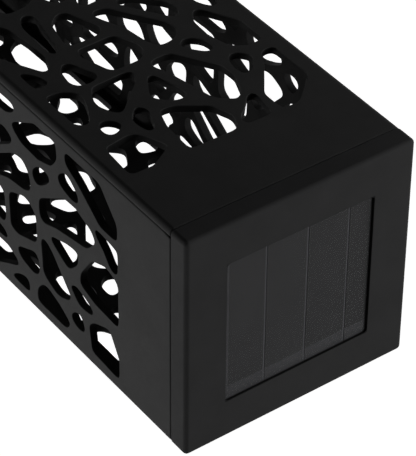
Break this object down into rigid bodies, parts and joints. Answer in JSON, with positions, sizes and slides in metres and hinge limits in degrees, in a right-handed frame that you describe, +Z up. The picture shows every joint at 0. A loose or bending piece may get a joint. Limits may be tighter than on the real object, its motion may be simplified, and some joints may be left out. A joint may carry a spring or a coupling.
{
  "type": "solar spike light",
  "caption": "Square garden light with four perforated side panels, a lift-off solar cap holding lamp and battery, and a cross-bladed ground spike.",
  "frame": {"origin": "centre of the underside of the base plate, at the ground line", "axes": "+Z up along the lamp, -Y out of the side that shows bright in the picture, X along the battery"},
  "size_m": [0.065, 0.065, 0.35],
  "materials": {
    "shade_plastic": "dark charcoal moulded plastic, satin",
    "cap_plastic": "near black moulded plastic, fine satin texture",
    "base_plastic": "near black moulded plastic",
    "spike_plastic": "black moulded plastic, satin",
    "housing_plastic": "dark moulded plastic",
    "screw_steel": "zinc plated steel",
    "gasket_foam": "black closed cell foam",
    "clear_resin": "clear cast resin",
    "solar_silicon": "dark blue-black silicon strips",
    "ribbon_tin": "dull tinned copper under dark resin",
    "board_laminate": "grey circuit laminate",
    "pcb_green": "green circuit laminate",
    "cell_sleeve": "shrink sleeve over a steel can",
    "contact_nickel": "nickel plated spring steel",
    "chip_black": "moulded epoxy",
    "choke_ferrite": "ferrite with a copper winding",
    "capacitor_sleeve": "printed sleeve, bare here",
    "led_epoxy": "clear epoxy with a warm tint",
    "lens_frost": "frosted translucent plastic",
    "switch_shell": "tinned steel shell",
    "slider_plastic": "black plastic",
    "red_wire": "insulated wire",
    "black_wire": "insulated wire"
  },
  "bodies": {
    "spike": {"spike": "spike_plastic"},
    "lamp": {"base_plate": "base_plastic", "base_screws": "screw_steel", "front_panel": "shade_plastic", "right_panel": "shade_plastic", "back_panel": "shade_plastic", "left_panel": "shade_plastic", "collar": "base_plastic", "collar_screws": "screw_steel"},
    "head": {"cap": "cap_plastic", "cap_gasket": "gasket_foam", "solar_cover": "clear_resin", "solar_cells": "solar_silicon", "bus_ribbons": "ribbon_tin", "solar_board": "board_laminate", "housing": "housing_plastic", "battery_cell": "cell_sleeve", "spring_contact": "contact_nickel", "button_contact": "contact_nickel", "circuit_board": "pcb_green", "board_screws": "screw_steel", "driver_chip": "chip_black", "choke_coil": "choke_ferrite", "capacitor": "capacitor_sleeve", "led": "led_epoxy", "lens": "lens_frost", "switch_body": "switch_shell", "solar_leads": "red_wire", "battery_leads": "black_wire", "hinge_pin": "screw_steel"},
    "switch": {"switch_slider": "slider_plastic"},
    "door": {"battery_door": "housing_plastic"}
  },
  "joints": [
    {"name": "lamp_lift", "type": "slide", "parent": "spike", "child": "lamp", "axis": [0, 0, 1], "range_m": [0, 0.03]},
    {"name": "head_lift", "type": "slide", "parent": "lamp", "child": "head", "axis": [0, 0, 1], "range_m": [0, 0.03]},
    {"name": "switch_slide", "type": "slide", "parent": "head", "child": "switch", "axis": [1, 0, 0], "range_m": [0, 0.003]},
    {"name": "door_hinge", "type": "hinge", "parent": "head", "child": "door", "pos_m": [0, -0.02325, 0.1729], "axis": [-1, 0, 0], "range_deg": [0, 90]}
  ]
}
